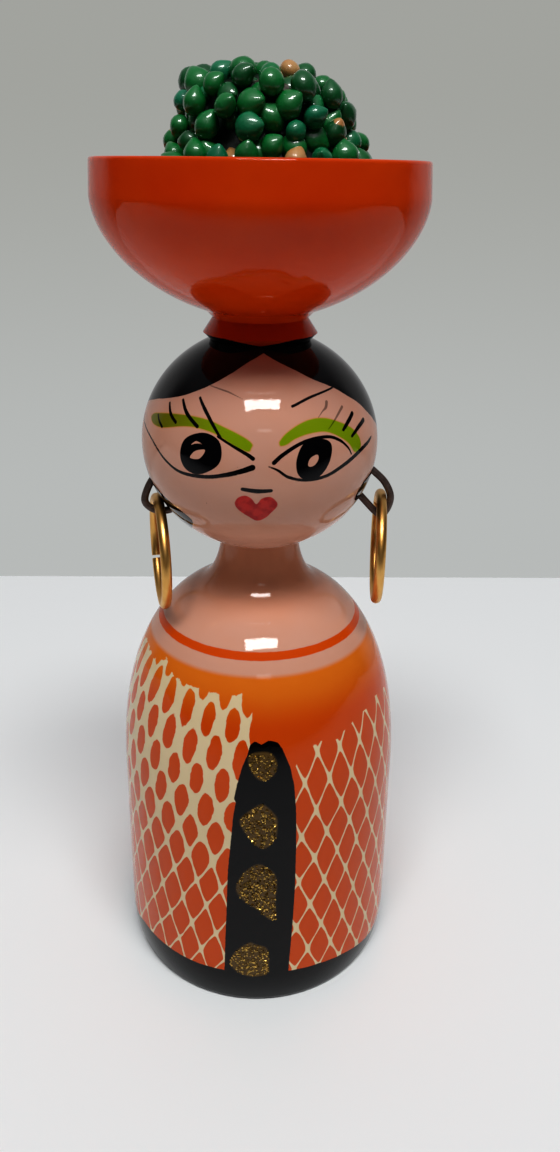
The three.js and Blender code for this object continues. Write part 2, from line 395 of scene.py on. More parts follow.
def spread_angles(half, step, back_step):
    """Angles from -180 up to 180, close together within half a turn's part of the front."""
    front = np.linspace(-half, half, round(2 * half / step) + 1)
    back = np.linspace(half, 360 - half, round((360 - 2 * half) / back_step) + 1)[1:-1]
    return np.sort(np.concatenate([front, np.where(back > 180, back - 360, back)]))


def resampled(outline, step):
    """The same outline with points about a step apart, its corners kept."""
    outline = np.array(outline, float)
    points = [outline[0]]
    for start, end in zip(outline[:-1], outline[1:]):
        parts = max(1, round(np.linalg.norm(end - start) / step))
        points += [start + (end - start) * (i + 1) / parts for i in range(parts)]
    return np.array(points)


def make_piece(name, points, faces, material, nodes=(), sharp=40):
    """A new piece in the frame, standing for the CAD nodes that it replaces."""
    mesh = bpy.data.meshes.new(name)
    mesh.from_pydata((np.asarray(points) * MM).tolist(), [], faces)
    mesh.shade_smooth()
    mesh.set_sharp_from_angle(angle=math.radians(sharp))
    mesh.materials.append(material)
    piece = bpy.data.objects.new(name, mesh)
    bpy.context.scene.collection.objects.link(piece)
    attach(piece, "root")
    for node in nodes:
        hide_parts(node)
    return piece


def add_fields(piece, fields):
    for name, values in fields.items():
        attribute = piece.data.attributes.new(name, "FLOAT", "POINT")
        attribute.data.foreach_set("value", np.asarray(values, np.float32))


# Head paint. A stroke is its marks and its widths in millimetres.
LASHES = [
    ([(-33.3, 128.6), (-25.6, 126.1), (-17.8, 123.0)], [0.45, 0.64, 0.6, 0.42]),
    ([(-43.8, 127.8), (-38.2, 126.0), (-30.4, 124.3)], [0.5, 0.7, 0.64]),
    ([(-52.8, 126.8), (-49.0, 125.3), (-43.7, 124.2)], [0.42, 0.64, 0.56]),
    ([(-59.2, 124.4), (-56.7, 123.6), (-52.8, 122.8)], [0.4, 0.46, 0.46]),
    ([(51.9, 125.4), (46.2, 124.2), (42.3, 123.3)], [0.75, 0.78, 0.58]),
    ([(60.1, 123.7), (53.5, 122.9), (47.4, 121.9)], [0.85, 0.76, 0.55]),
]
FAINT_STROKES = [
    ([(36.7, 128.0), (35.0, 127.2), (32.3, 126.7), (29.2, 125.9)], [0.55, 0.5, 0.22, 0.12]),
    ([(45.9, 126.8), (41.2, 125.8), (33.6, 123.9)], [0.5, 0.4, 0.16]),
    ([(-30.0, 130.5), (-20.0, 130.0), (-15.8, 129.7), (-9.3, 129.0)], [0.2, 0.32, 0.26, 0.12]),
]
BROWS = [
    ([(16.5, 127.9), (28.0, 129.0), (45.1, 129.8)], [0.48, 0.46, 0.32]),
]
LIDS = [
    ([(-19.3, 123.2), (-12.7, 122.0), (-5.8, 120.7), (-3.0, 120.0)], [0.4, 0.46, 0.62, 0.72]),
    (
        [
            (-84.0, 122.8), (-79.9, 121.9), (-69.8, 121.1), (-59.2, 119.8), (-46.9, 117.3),
            (-37.4, 116.1), (-24.5, 116.2), (-15.6, 116.9), (-8.7, 117.7), (-3.2, 118.5),
        ],
        [0.18, 0.26, 0.32, 0.4, 0.5, 0.65, 0.72, 0.86, 1.0],
    ),
    (
        [
            (6.1, 119.3), (9.8, 120.5), (17.0, 122.0), (24.3, 122.7), (32.9, 122.7),
            (39.3, 121.7), (43.8, 120.2), (46.0, 118.9),
        ],
        [0.74, 0.68, 0.6, 0.56, 0.54, 0.4, 0.28],
    ),
    (
        [
            (3.7, 118.7), (7.8, 118.0), (12.6, 116.7), (20.5, 115.9), (30.5, 116.1),
            (40.9, 117.4), (53.0, 119.0), (61.8, 119.8), (65.4, 120.3),
        ],
        [0.2, 0.42, 0.5, 0.52, 0.62, 0.74, 0.8, 0.7, 0.35],
    ),
]
NOSE = [([(-7.6, 114.6), (-1.0, 114.3), (4.9, 114.4)], [0.68, 0.82, 0.64])]
IRIS_LEFT = [
    (-38.1, 119.4), (-35.8, 122.1), (-26.9, 123.5), (-19.1, 122.7), (-16.9, 120.4),
    (-19.3, 118.2), (-28.2, 116.4), (-35.3, 117.1),
]
IRIS_RIGHT = [
    (16.0, 119.3), (19.1, 121.9), (25.1, 122.8), (32.8, 122.0), (33.8, 120.1), (30.3, 117.3),
    (23.7, 115.6), (17.3, 116.8),
]
PUPILS = [
    [(-32.4, 119.1), (-30.5, 120.2), (-27.6, 120.7), (-24.9, 120.8), (-25.8, 119.9), (-28.2, 119.1)],
    [(21.4, 118.7), (22.8, 119.7), (26.1, 120.1), (26.6, 119.3), (24.7, 118.4), (22.3, 118.2)],
]
GLINTS = [([(-32.2, 121.3), (-29.7, 121.8), (-26.8, 121.7)], [0.1, 0.42, 0.1])]
LIPS_OUTLINE = [
    (-11.5, 111.7), (-9.8, 112.9), (-6.5, 113.4), (-3.6, 112.8), (-1.5, 111.8), (0.9, 112.9),
    (4.6, 113.2), (7.3, 112.4), (8.0, 111.3), (5.2, 109.9), (2.8, 108.9), (-1.2, 108.2),
    (-5.4, 109.1), (-9.8, 110.4),
]
SHADOWS = [
    [
        (-66.1, 123.8), (-60.2, 124.7), (-42.0, 125.7), (-26.6, 125.7), (-14.9, 124.6),
        (-6.8, 123.4), (-3.2, 122.4), (-3.5, 121.7), (-5.1, 121.0), (-11.1, 121.8),
        (-17.6, 123.0), (-23.6, 123.7), (-31.9, 124.0), (-39.8, 123.7), (-52.6, 122.6),
        (-61.0, 122.5), (-65.2, 123.0),
    ],
    [
        (8.7, 122.9), (12.1, 124.1), (18.5, 125.3), (25.9, 125.9), (33.5, 125.7), (41.2, 124.7),
        (48.3, 123.3), (52.9, 121.5), (53.8, 119.8), (51.0, 118.9), (47.7, 119.1), (44.0, 120.9),
        (37.3, 122.6), (30.9, 123.5), (22.9, 123.5), (16.1, 122.9), (12.1, 122.1), (9.2, 121.9),
        (8.3, 122.3),
    ],
]
# The hair's edge from the parting down each side, and back again under the ear
HAIR_LEFT = [
    (3.0, 135.2), (-9.2, 134.0), (-19.1, 132.4), (-27.7, 130.9), (-36.6, 129.5), (-46.7, 128.2),
    (-59.9, 127.0), (-69.4, 126.2), (-87.9, 123.9), (-98, 119.0), (-95, 115.5), (-84, 113.6),
    (-73.8, 113.0), (-68.2, 110.9), (-53.6, 108.9), (-40.6, 105.8), (-60, 101.5), (-100, 98.6),
    (-180, 97.6),
]
HAIR_RIGHT = [
    (3.0, 135.2), (14.3, 134.0), (24.6, 132.8), (33.8, 131.4), (45.5, 129.8), (53.2, 128.2),
    (60.9, 126.5), (67.0, 124.6), (74.2, 122.5), (84.2, 119.6), (86, 116.8), (71.5, 113.2),
    (60.5, 112.1), (58.5, 108.9), (80, 103.5), (110, 99.5), (180, 97.6),
]


def head_outline():
    """The ball from the neck up to the crown, with finer steps across the painted face."""
    def climb(height):
        return math.asin((height - HEAD_CENTRE_Z) / HEAD_HALF_HEIGHT)

    edges = [(NECK_TOP_Z, 35), (106.5, 150), (131.5, 26)]
    stops = [height for height, _ in edges[1:]] + [CROWN_Z]
    climbs = []
    for (low, steps), high in zip(edges, stops):
        climbs += list(np.linspace(climb(low), climb(high), steps, endpoint=False))
    climbs.append(climb(CROWN_Z))
    return [
        (HEAD_RADIUS * math.cos(a), HEAD_CENTRE_Z + HEAD_HALF_HEIGHT * math.sin(a)) for a in climbs
    ]


def union(distances):
    """The signed distance to any of several areas."""
    return np.minimum.reduce(list(distances))


def strokes_distance(skin, strokes):
    return union(skin.stroke(marks, widths) for marks, widths in strokes)


def hair_distance(skin):
    """Each half of the hair is the area above its edge. The halves meet at the parting and at
    the nape, so only the painted edges count as edges."""
    edges = []
    inside = np.zeros(len(skin.points), bool)
    for side, marks in ((-1, HAIR_LEFT), (1, HAIR_RIGHT)):
        line = smooth_line(marks)
        edges.append(chain_distance(skin.points, skin.place(line), np.zeros(len(line))))
        start = line[0]
        rim = [(start[0], CROWN_Z + 1), (side * 181, CROWN_Z + 1), (side * 181, 97)]
        inside |= encloses(np.array([*line, *rim[::-1], line[0]]), skin.angle, skin.height)
    edge = union(edges)
    return np.where(inside, -edge, edge)


def head_material():
    shader = new_shader("face paint under lacquer")
    skin = shader.mix(shader.noise(9, 3), SKIN, SKIN_WARM)
    specks = shader.span(shader.noise(0.9, 1), 0.83, 0.86)
    skin = shader.mix(shader.math("MULTIPLY", specks, 0.55), skin, srgb(96, 52, 40))
    green = shader.mix(shader.span(shader.field("angle"), -55, -12), SHADOW_OLIVE, SHADOW_GREEN)
    shade = shader.field("shadow")
    colour = shader.mix(shader.math("MULTIPLY", shader.inside(shade, 0.14), 0.8), skin, SHADOW_RIM)
    colour = shader.mix(shader.inside(shader.math("ADD", shade, 0.14), 0.1), colour, green)
    faint = shader.math("MULTIPLY", shader.inside(shader.field("faint")), 0.62)
    colour = shader.mix(faint, colour, INK)
    lips = shader.wavy(shader.field("lips"), 0.7, 0.05)
    lip_tone = shader.mix(shader.span(shader.noise(1.8, 2), 0.4, 0.65), LIPS, LIPS_DARK)
    colour = shader.mix(shader.inside(lips, 0.08), colour, lip_tone)
    colour = shader.mix(shader.inside(shader.field("iris"), 0.07), colour, IRIS)
    pupil = shader.inside(shader.field("pupil"), 0.06)
    colour = shader.mix(pupil, colour, skin)
    ink = shader.wavy(shader.field("ink"), 0.5, 0.03)
    colour = shader.mix(shader.inside(ink, 0.05), colour, INK)
    hair = shader.wavy(shader.field("hair"), 0.8, 0.06)
    colour = shader.mix(shader.inside(hair, 0.06), colour, HAIR)
    normal = lacquer_normal(shader)
    return shader.finish(colour, normal, **LACQUER)


LACQUER = {
    "roughness": 0.6,
    "specular_ior_level": 0.0,
    "coat_weight": 1.0,
    "coat_roughness": 0.04,
    "coat_ior": 1.38,
}


def lacquer_normal(shader, swell=0.05, peel=0.007):
    """Brushed lacquer: a slow swell and a fine orange peel that breaks up the highlights."""
    slow = shader.bump(shader.noise(5, 2), swell)
    return shader.bump(shader.noise(0.7, 3), peel, slow)


def make_head():
    skin = Turned(head_outline(), spread_angles(90, 0.49, 3))
    piece = make_piece(
        "painted_head", skin.points, skin.faces(), head_material(), ["head"],
    )
    ink = [*LASHES, *BROWS, *LIDS, *NOSE]
    add_fields(piece, {
        "angle": skin.angle,
        "ink": strokes_distance(skin, ink),
        "faint": strokes_distance(skin, FAINT_STROKES),
        "iris": union(skin.area(marks) for marks in (IRIS_LEFT, IRIS_RIGHT)),
        "pupil": union([
            *(skin.area(marks) for marks in PUPILS), strokes_distance(skin, GLINTS),
        ]),
        "lips": skin.area(LIPS_OUTLINE),
        "shadow": union(skin.area(marks) for marks in SHADOWS),
        "hair": hair_distance(skin),
    })


# Body paint
RING_LOW = 80.3
RING_HIGH = 81.6
YOKE_Z = 77.8
STRIP = [
    (-3.5, 65.9), (-1.5, 66.6), (1.0, 65.9), (4.0, 66.7), (7.4, 66.3), (9.3, 64.9), (12.2, 61.1),
    (13.6, 57.1), (14.3, 51.7), (14.6, 42.1), (14.5, 31.9), (13.9, 23.5), (13.1, 15.5),
    (12.0, 6.0), (-14.0, 6.0), (-13.3, 17.8), (-12.6, 26.6), (-11.9, 37.1), (-10.6, 44.5),
    (-9.7, 50.3), (-8.7, 53.7), (-9.4, 54.5), (-8.3, 57.5), (-6.4, 61.4), (-4.0, 64.6),
]
HEM_EDGE = [
    (-180, 7.0), (-120, 6.0), (-66.6, 7.3), (-59.4, 8.6), (-44.7, 8.8), (-25, 8.9), (1, 9.4),
    (26.0, 8.4), (39.6, 7.2), (54.4, 5.2), (72.1, 3.8), (120, 5.0), (180, 7.0),
]
GLITTER_SPOTS = [
    [
        (-4.0, 63.6), (-0.9, 64.4), (4.2, 64.3), (6.9, 62.4), (6.1, 60.0), (2.1, 58.6),
        (-0.9, 59.3), (-3.4, 61.2),
    ],
    [
        (-7.2, 49.2), (-5.7, 50.8), (-0.8, 53.0), (2.1, 53.3), (6.6, 50.5), (7.1, 47.9),
        (6.2, 44.8), (2.2, 42.8), (-0.8, 43.6), (-5.2, 46.8),
    ],
    [
        (-8.7, 32.6), (-6.8, 35.4), (-3.8, 37.6), (0.7, 38.8), (5.8, 36.5), (7.2, 33.3),
        (6.6, 29.2), (7.0, 24.6), (4.4, 24.2), (0.3, 26.6), (-6.9, 29.9),
    ],
    [
        (-11.3, 12.1), (-9.1, 15.0), (-3.8, 17.7), (-1.2, 17.3), (3.5, 16.0), (4.3, 11.1),
        (3.6, 8.8), (-2.8, 8.1), (-8.1, 9.0), (-10.8, 10.6),
    ],
]
# Each side's net: a knot's place as (distance around, height), and the steps to the next knots
# along its two sets of threads
NETS = {
    "left": {"knot": (-14.9, 38.8), "steps": ((2.0, -6.5), (-3.5, -5.9))},
    "right": {"knot": (13.9, 32.3), "steps": ((2.6, -6.3), (-3.0, -5.8))},
}
NET_TOP_LEFT = [
    (-180, 71.0), (-100, 75.0), (-72.2, 76.0), (-62.5, 75.4), (-51.0, 76.6), (-42.3, 74.9),
    (-30.7, 74.6), (-17.3, 74.6), (-10.8, 74.6), (-5.4, 74.6), (-2.0, 70.0), (-2.5, 60),
]
NET_TOP_RIGHT = [
    (6, 55), (14.2, 61.2), (22.7, 64.6), (33.0, 64.5), (41.7, 65.9), (50.6, 66.9), (60.5, 67.4),
    (72.7, 66.3), (88.7, 65.6), (120, 67.0), (180, 70.0),
]
NET_GAP = 168


def body_outline():
    """From the edge of the base up the sides and shoulders to the top of the neck."""
    rim = (BASE_RADIUS + BASE_CHAMFER, BASE_CHAMFER)
    hem = bend(rim, (HEM_RADIUS, HEM_Z / 2), (HEM_RADIUS, HEM_Z), 8)
    foot_share = (NECK_FOOT_Z - SHOULDER_Z) / SHOULDER_RISE
    climbs = np.linspace(0, math.asin(foot_share), 60)
    shoulders = [
        (
            SIDE_RADIUS * rounded_width(math.sin(climb), SHOULDER_POWER),
            SHOULDER_Z + SHOULDER_RISE * math.sin(climb),
        )
        for climb in climbs
    ]
    neck = bend(shoulders[-1], NECK_BEND, (NECK_TOP_RADIUS, NECK_TOP_Z), 16)
    return resampled([(BASE_RADIUS, 0), *hem, *shoulders[:-1], *neck], 0.5)


def net_threads(skin, net):
    """How many steps each place is from a knot, along the net's two sets of threads."""
    across = np.radians(skin.angle) * SIDE_RADIUS - net["knot"][0]
    up = skin.height - net["knot"][1]
    steps = np.array(net["steps"]).T
    return np.linalg.solve(steps, np.stack([across, up]))


def net_edge(skin):
    """Signed distance to the edge of the netted area, negative inside."""
    left = smooth_line(NET_TOP_LEFT)
    right = smooth_line(NET_TOP_RIGHT)
    top = np.where(
        skin.angle < 0,
        np.interp(skin.angle, left[:, 0], left[:, 1], right=0),
        np.interp(skin.angle, right[:, 0], right[:, 1], left=0),
    )
    back = (np.abs(skin.angle) - NET_GAP) * math.radians(SIDE_RADIUS)
    return np.maximum(skin.height - top, back)


THREAD_THIN = 0.27
THREAD_THICK = 0.85


def thread_half_width(skin):
    """Thick threads high on the left, thin ones low down and on the right."""
    high = np.clip((skin.height - 27) / 32, 0, 1)
    left = np.clip(-skin.angle / 10, 0, 1)
    return THREAD_THIN + (THREAD_THICK - THREAD_THIN) * high * high * (3 - 2 * high) * left


def body_fields(skin):
    left = net_threads(skin, NETS["left"])
    right = net_threads(skin, NETS["right"])
    steep, shallow = np.where(skin.angle < 0, left, right)
    hem_top = np.interp(skin.angle, *np.array(HEM_EDGE).T)
    return {
        "height": skin.height,
        "angle": skin.angle,
        "steep": steep,
        "shallow": shallow,
        "thread": thread_half_width(skin),
        "net": net_edge(skin),
        "ring": np.abs(skin.height - (RING_LOW + RING_HIGH) / 2) - (RING_HIGH - RING_LOW) / 2,
        "yoke": YOKE_Z - skin.height,
        "strip": skin.area(STRIP, smooth=False),
        "hem": skin.height - hem_top,
        "glitter": union(skin.area(marks) for marks in GLITTER_SPOTS),
    }


THREAD_SPACING = 5.05


def thread_distance(shader, steps):
    """Distance in millimetres to the nearest of a set of threads that are a step apart."""
    part = shader.math("FRACT", shader.math("ADD", steps, 0.5))
    off = shader.math("ABSOLUTE", shader.math("SUBTRACT", part, 0.5))
    return shader.math("MULTIPLY", off, THREAD_SPACING)


def thread_edge(shader, steps, along, half, knot):
    """Signed distance to threads that swell by the given share where they are knotted."""
    wave = shader.math("COSINE", shader.math("MULTIPLY", along, 2 * math.pi))
    swell = shader.math("MULTIPLY_ADD", wave, knot, 1.0)
    return shader.math("SUBTRACT", thread_distance(shader, steps), shader.math("MULTIPLY", half, swell))


def net_share(shader):
    """1 on the net's threads, with knots where they cross, and 0 in its holes."""
    wander = shader.math("MULTIPLY_ADD", shader.noise(9, 1), 0.3, -0.15)
    steep = shader.math("ADD", shader.field("steep"), wander)
    wander = shader.math("MULTIPLY_ADD", shader.noise(10, 1), 0.3, -0.15)
    shallow = shader.math("ADD", shader.field("shallow"), wander)
    thread = shader.field("thread")
    half = shader.math("MULTIPLY", thread, shader.math("MULTIPLY_ADD", shader.noise(2.2, 2), 1.3, 0.35))
    steep_threads = thread_edge(shader, shallow, steep, half, 0.35)
    shallow_threads = thread_edge(shader, steep, shallow, shader.math("MULTIPLY", half, 0.8), 0.25)
    rounding = shader.math("MULTIPLY_ADD", thread, 1.6, 0.5)
    nearest = shader.math("SMOOTH_MIN", steep_threads, shallow_threads, rounding)
    threads = shader.inside(nearest, 0.07)
    region = shader.inside(shader.wavy(shader.field("net"), 1.5, 1.1), 0.1)
    return shader.math("MULTIPLY", threads, region)


def body_material():
    shader = new_shader("body paint under lacquer")
    height = shader.field("height")
    orange = shader.mix(shader.span(height, 68, 77), ORANGE, ORANGE_LIGHT)
    orange = shader.mix(shader.math("MULTIPLY", shader.noise(6, 3), 0.35), orange, RING)
    skin = shader.mix(shader.noise(9, 3), SKIN, SKIN_WARM)
    # Painted bounce light: the neck is warmed from height 84 up, for the orange reflected from the body
    skin = shader.mix(shader.span(height, 84, 91), skin, NECK_SKIN_IN_BOUNCE_LIGHT)
    colour = shader.mix(shader.inside(shader.field("yoke"), 0.5), orange, skin)
    colour = shader.mix(shader.inside(shader.wavy(shader.field("ring"), 2, 0.08), 0.08), colour, RING)
    colour = shader.mix(net_share(shader), colour, CREAM)
    colour = shader.mix(shader.inside(shader.wavy(shader.field("strip"), 0.8, 0.1), 0.07), colour, BLACK)
    colour = shader.mix(shader.inside(shader.wavy(shader.field("hem"), 1.5, 0.1), 0.08), colour, BLACK)
    colour = shader.mix(shader.inside(shader.field("glitter"), 0.3), colour, GOLD_DARK)
    normal = lacquer_normal(shader)
    return shader.finish(colour, normal, **LACQUER)


def make_body():
    skin = Turned(body_outline(), spread_angles(110, 0.95, 3))
    piece = make_piece(
        "painted_body", skin.points, skin.faces(), body_material(), ["body"],
    )
    add_fields(piece, body_fields(skin))
    make_glitter(skin)


# Glitter: flat six-sided flakes glued on the strip
FLAKE_RADIUS = 0.22
FLAKE_THICKNESS = 0.08
FLAKES_PER_MM2 = 4
GLITTER_DEPTH = 0.25
GLITTER_REACH = 30.05


def flake_points(random):
    """A six-sided flake around the origin, facing +Z before it is tipped at random."""
    turns = np.radians(np.arange(6) * 60 + random.uniform(0, 60))
    radius = FLAKE_RADIUS * random.uniform(0.7, 1.2)
    ring = np.stack([radius * np.cos(turns), radius * np.sin(turns), 0 * turns], axis=-1)
    points = np.concatenate([ring, [(0, 0, FLAKE_THICKNESS / 2), (0, 0, -FLAKE_THICKNESS / 2)]])
    tip = Matrix.Rotation(random.normal(0, 0.45), 3, "X") @ Matrix.Rotation(random.normal(0, 0.45), 3, "Y")
    return points @ np.array(tip).T


def flake_faces(start):
    ring = [start + i for i in range(6)]
    over = [[ring[i], ring[(i + 1) % 6], start + 6] for i in range(6)]
    under = [[ring[(i + 1) % 6], ring[i], start + 7] for i in range(6)]
    return over + under


def make_glitter(skin):
    random = np.random.default_rng(11)
    points, faces, tones = [], [], []
    for marks in GLITTER_SPOTS:
        outline = smooth_line(marks, True)
        low, high = outline.min(axis=0), outline.max(axis=0)
        size = (high - low) * (math.radians(SIDE_RADIUS), 1)
        tries = random.uniform(low, high, (round(size.prod() * FLAKES_PER_MM2), 2))
        for mark in tries[encloses(outline, tries[:, 0], tries[:, 1])]:
            place = skin.place([mark])[0]
            turn = Matrix.Rotation(math.radians(mark[0]), 3, "Z") @ Matrix.Rotation(math.radians(90), 3, "X")
            lift = polar(mark[0], random.uniform(0, GLITTER_DEPTH), 0)
            flake = flake_points(random) @ np.array(turn).T + place + lift
            faces += flake_faces(8 * len(tones))
            points.append(flake)
            tones.append(random.uniform())
    points = np.concatenate(points)
    share = np.minimum(1, GLITTER_REACH / np.hypot(points[:, 0], points[:, 1]))
    points[:, :2] *= share[:, None]
    piece = make_piece("glitter", points, faces, glitter_material(), sharp=5)
    add_fields(piece, {"tone": np.repeat(tones, 8)})


def glitter_material():
    shader = new_shader("gold glitter")
    colour = shader.mix(shader.field("tone"), GOLD_DARK, GOLD)
    return shader.finish(colour, metallic=1.0, roughness=0.3)


# Bowl
def bowl_outline():
    """From the foot up the outside, over the rim and down the inside to its floor."""
    foot = [(FOOT_RADIUS, CROWN_Z), FOOT_EDGE, FOOT_GROOVE]
    start = math.asin((BOWL_WIDEST_Z - BOWL_START_Z) / BOWL_DEPTH)
    outside = [
        (
            BOWL_RADIUS * rounded_width(math.sin(drop), BOWL_POWER),
            BOWL_WIDEST_Z - BOWL_DEPTH * math.sin(drop),
        )
        for drop in np.linspace(start, 0, 60)
    ]
    inner = RIM_RADIUS - WALL
    top = RIM_Z - RIM_ROUNDING
    rim = [
        *bend((RIM_RADIUS, top), (RIM_RADIUS, RIM_Z), (RIM_RADIUS - RIM_ROUNDING, RIM_Z), 4),
        *bend((inner + RIM_ROUNDING, RIM_Z), (inner, RIM_Z), (inner, top), 4),
    ]
    depth = BOWL_WIDEST_Z - BOWL_FLOOR_Z
    inside = [
        (
            (BOWL_RADIUS - WALL) * rounded_width(math.sin(drop), BOWL_POWER),
            BOWL_WIDEST_Z - depth * math.sin(drop),
        )
        for drop in np.linspace(0, math.radians(88), 40)
    ]
    return resampled([*foot, *outside, *rim, *inside], 0.9)


def bowl_material():
    shader = new_shader("bowl lacquer")
    colour = shader.mix(shader.noise(12, 3), BOWL_ORANGE, BOWL_DEEP)
    normal = lacquer_normal(shader, 0.11, 0.006)
    foot = shader.inside(shader.field("foot"), 0.08)
    colour = shader.mix(foot, colour, HAIR)
    return shader.finish(colour, normal, **LACQUER)


def make_bowl():
    skin = Turned(bowl_outline(), spread_angles(180, 1.5, 3)[:-1])
    piece = make_piece(
        "lacquered_bowl", skin.points, skin.faces(), bowl_material(), ["bowl"],
    )
    edge = np.interp(np.abs(skin.angle), [0, 35, 180], [CROWN_Z, FOOT_EDGE[1], FOOT_EDGE[1]])
    add_fields(piece, {"foot": skin.height - edge})


# Seeds
SEED_COLUMNS = 16
SEED_ROWS = 11
SEED_LENGTH = 2.3
SEED_WIDTH = 1.95
SEED_POINT = 0.5
HULL_STEP = 0.07
SEED_LAYERS = [(0.0, 3.7), (-2.0, 3.5)]
SEED_TRIES = 5000
HEAP_TOP = 179.9


def heap_seeds(random):
    """Each seed's place and the way out of the heap there, in an outer and an inner layer."""
    rings = smooth_line(SEED_RINGS, steps=6)
    ahead = np.gradient(rings, axis=0)
    area = np.cumsum(rings[:, 0] * np.linalg.norm(ahead, axis=1))
    seeds = []
    for depth, gap in SEED_LAYERS:
        placed = np.zeros((0, 3))
        picks = np.interp(random.uniform(0, area[-1], SEED_TRIES), area, np.arange(len(rings)))
        for pick, turn in zip(picks, random.uniform(0, 2 * math.pi, SEED_TRIES)):
            radius, rise, step_in, step_up = (
                np.interp(pick, np.arange(len(rings)), column) for column in (*rings.T, *ahead.T)
            )
            slope = math.atan2(-step_in, step_up)
            out = np.array([
                math.cos(turn) * math.cos(slope), math.sin(turn) * math.cos(slope), math.sin(slope),
            ])
            around = np.array([radius * math.cos(turn), radius * math.sin(turn), RIM_Z + rise])
            place = around + out * (depth + random.uniform(-0.9, 0.5))
            if len(placed) and np.linalg.norm(placed - place, axis=1).min() < gap:
                continue
            placed = np.concatenate([placed, [place]])
            seeds.append((leaned(place), out))
    return seeds


def leaned(point):
    """A point of the heap moved off the bowl's axis and lowered where the heap leans."""
    x = point[0] + HEAP_OFFSET_X
    share = np.clip((x - HEAP_LEAN_START) / (HEAP_LEAN_END - HEAP_LEAN_START), 0, 1)
    keep = 1 - HEAP_LEAN * share * share * (3 - 2 * share)
    rise = point[2] - RIM_Z
    return np.array([x, point[1], RIM_Z + rise * keep if rise > 0 else point[2]])


def seed_shape():
    """One grain along +Z: a round base, a pointed tip, and one hull lapped over the other."""
    climbs = np.radians(np.linspace(-84, 84, SEED_ROWS))
    turns = np.radians(np.arange(SEED_COLUMNS) * 360 / SEED_COLUMNS)
    rise = np.sin(climbs)
    taper = 1 - 0.3 * np.clip((rise - 0.35) / 0.65, 0, 1) ** 1.5
    wide = SEED_WIDTH * np.cos(climbs) ** 0.9 * taper
    axis = SEED_LENGTH * rise * 0.86 + SEED_POINT * np.clip(rise, 0, 1) ** 4
    lap = np.where(np.cos(turns) > 0, 1 + HULL_STEP, 1)
    across = wide[:, None] * lap[None, :]
    ring = np.stack([
        across * np.cos(turns), 0.88 * across * np.sin(turns), axis[:, None] + 0 * turns,
    ], axis=-1).reshape(-1, 3)
    ends = [(0, 0, -SEED_LENGTH * 0.87), (0, 0, SEED_LENGTH * 0.87 + SEED_POINT)]
    return np.concatenate([ring, ends])


def seed_faces():
    faces = []
    for row in range(SEED_ROWS - 1):
        for column in range(SEED_COLUMNS):
            after = (column + 1) % SEED_COLUMNS
            low, high = row * SEED_COLUMNS, (row + 1) * SEED_COLUMNS
            faces.append([low + column, low + after, high + after, high + column])
    base = SEED_ROWS * SEED_COLUMNS
    last = (SEED_ROWS - 1) * SEED_COLUMNS
    for column in range(SEED_COLUMNS):
        after = (column + 1) % SEED_COLUMNS
        faces.append([after, column, base])
        faces.append([last + column, last + after, base + 1])
    return faces


def seed_pose(out, random):
    """The turn of a seed that lies on the heap, more often with its tip upwards."""
    out = Vector(out)
    side = Vector((0, 0, 1)).cross(out)
    side = side.normalized() if side.length > 0.1 else Vector((1, 0, 0))
    up = out.cross(side)
    spin = random.normal(0, 1.1)
    tilt = random.uniform(-0.3, 1.0)
    axis = math.cos(tilt) * (math.cos(spin) * up + math.sin(spin) * side) + math.sin(tilt) * out
    axis.normalize()
    wide = axis.cross(out).normalized()
    thick = axis.cross(wide)
    roll = Matrix.Rotation(random.uniform(-0.8, 0.8), 3, axis)
    pose = Matrix([wide, thick, axis]).transposed()
    return np.array(roll @ pose)


def seed_material():
    shader = new_shader("green seeds in clear glue")
    tone = shader.field("tone")
    green = shader.mix(shader.span(tone, 0.0, 0.4), SEED_DARK, SEED_GREEN)
    green = shader.mix(shader.span(tone, 0.65, 1.0), green, SEED_TEAL)
    green = shader.mix(shader.math("MULTIPLY", shader.noise(1.4, 3), 0.45), green, SEED_DARK)
    tan = shader.mix(shader.noise(1.5, 2), SEED_TAN, SEED_RUST)
    ragged = shader.math("MULTIPLY_ADD", shader.noise(0.8), 0.5, -0.25)
    edge = shader.math("ADD", shader.field("tan"), ragged)
    colour = shader.mix(shader.span(edge, 0.45, 0.6), green, tan)
    normal = shader.bump(shader.noise(0.9, 2), 0.06)
    return shader.finish(colour, normal, roughness=0.5, coat_weight=0.9, coat_roughness=0.08)


TAN_SEEDS = 0.035
TAN_TIPS = 0.12


def seed_tan(shape, random):
    """How tan each point of one seed is: bare all over, at its tip only, or not at all."""
    luck = random.uniform()
    if luck < TAN_SEEDS:
        return np.ones(len(shape))
    if luck < TAN_SEEDS + TAN_TIPS:
        return np.clip(shape[:, 2] / SEED_LENGTH - 0.25, 0, 1)
    return np.zeros(len(shape))


def make_seeds():
    random = np.random.default_rng(5)
    shape = seed_shape()
    points, faces, tones, tans = [], [], [], []
    for number, (place, out) in enumerate(heap_seeds(random)):
        size = random.uniform(0.82, 1.14)
        points.append((shape * size) @ seed_pose(out, random).T + place)
        faces += [[number * len(shape) + index for index in face] for face in seed_faces()]
        tones.append(random.uniform())
        tans.append(seed_tan(shape, random))
    points = np.concatenate(points)
    points[:, 2] = np.minimum(points[:, 2], HEAP_TOP)
    piece = make_piece("green_seeds", points, faces, seed_material(), ["seed_heap"])
    add_fields(piece, {"tone": np.repeat(tones, len(shape)), "tan": np.concatenate(tans)})


CORE_DEPTH = 2.2


